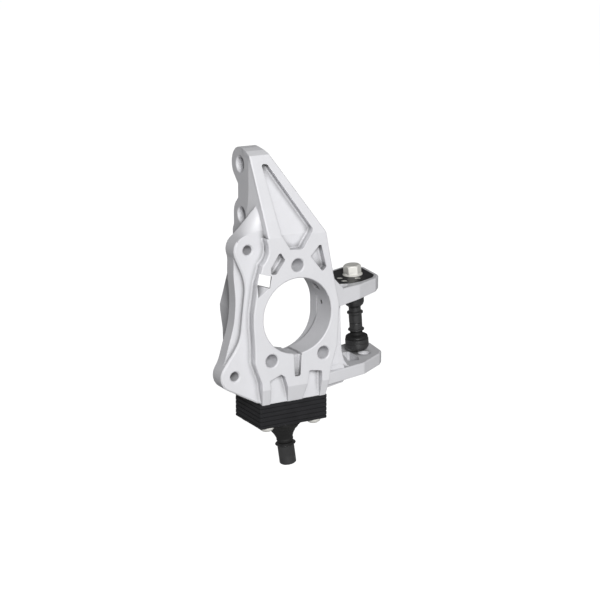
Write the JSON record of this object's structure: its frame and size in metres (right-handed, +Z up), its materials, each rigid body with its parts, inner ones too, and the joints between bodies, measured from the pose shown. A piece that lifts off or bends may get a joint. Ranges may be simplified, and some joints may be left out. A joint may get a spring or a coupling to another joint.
{
  "type": "steering knuckle",
  "caption": "Front strut steering knuckle milled from aluminium, with a pocketed arm, caliper ear, hub bore, forked steering arm with a tie-rod joint, and a shimmed ball joint.",
  "frame": {"origin": "centre of the hub bore on the outer face", "axes": "+Z up, +Y inboard along the hub's axis, +X to the right seen from outboard, toward the steering arm"},
  "size_m": [0.2451, 0.1124, 0.3663],
  "materials": {
    "billet": "fine machined, satin",
    "black_plate": "black anodised, matt",
    "dark_steel": "black phosphate, satin",
    "zinc_steel": "pale zinc plate, satin",
    "rubber": "matt black",
    "bearing": "pale acetal"
  },
  "bodies": {
    "knuckle": {"knuckle_body": "billet", "ball_joint_spacer_1": "black_plate", "ball_joint_spacer_2": "black_plate", "ball_joint_spacer_3": "black_plate", "ball_joint_spacer_4": "black_plate", "ball_joint_spacer_5": "black_plate", "ball_joint_housing": "black_plate", "ball_joint_cover": "dark_steel", "ball_joint_boot": "rubber", "flange_screws": "zinc_steel", "steering_insert": "black_plate", "insert_screws": "zinc_steel", "tie_rod_bolt": "zinc_steel", "tie_rod_pin": "dark_steel", "tie_rod_stud": "dark_steel", "tie_rod_boot": "rubber"},
    "ball_race": {"ball_joint_race": "bearing"},
    "ball_stud": {"ball_joint_stud": "dark_steel"},
    "tie_race": {"tie_rod_race": "bearing"},
    "tie_housing": {"tie_rod_housing": "dark_steel", "tie_rod_end_cap": "dark_steel"}
  },
  "joints": [
    {"name": "ball_turn", "type": "hinge", "parent": "knuckle", "child": "ball_race", "pos_m": [0, 0.0385, -0.121], "axis": [0, 0, 1], "range_deg": [-50, 50]},
    {"name": "ball_swing", "type": "hinge", "parent": "ball_race", "child": "ball_stud", "pos_m": [0, 0.0385, -0.121], "axis": [0, 1, 0], "range_deg": [-10, 26], "deforming": ["ball_joint_boot"]},
    {"name": "tie_turn", "type": "hinge", "parent": "knuckle", "child": "tie_race", "pos_m": [0.12164, 0.0737, -0.06342], "axis": [-0.0833, 0, 0.9965], "range_deg": [-45, 45]},
    {"name": "tie_swing", "type": "hinge", "parent": "tie_race", "child": "tie_housing", "pos_m": [0.12164, 0.0737, -0.06342], "axis": [0, 1, 0], "range_deg": [-15, 15], "deforming": ["tie_rod_boot"]}
  ]
}
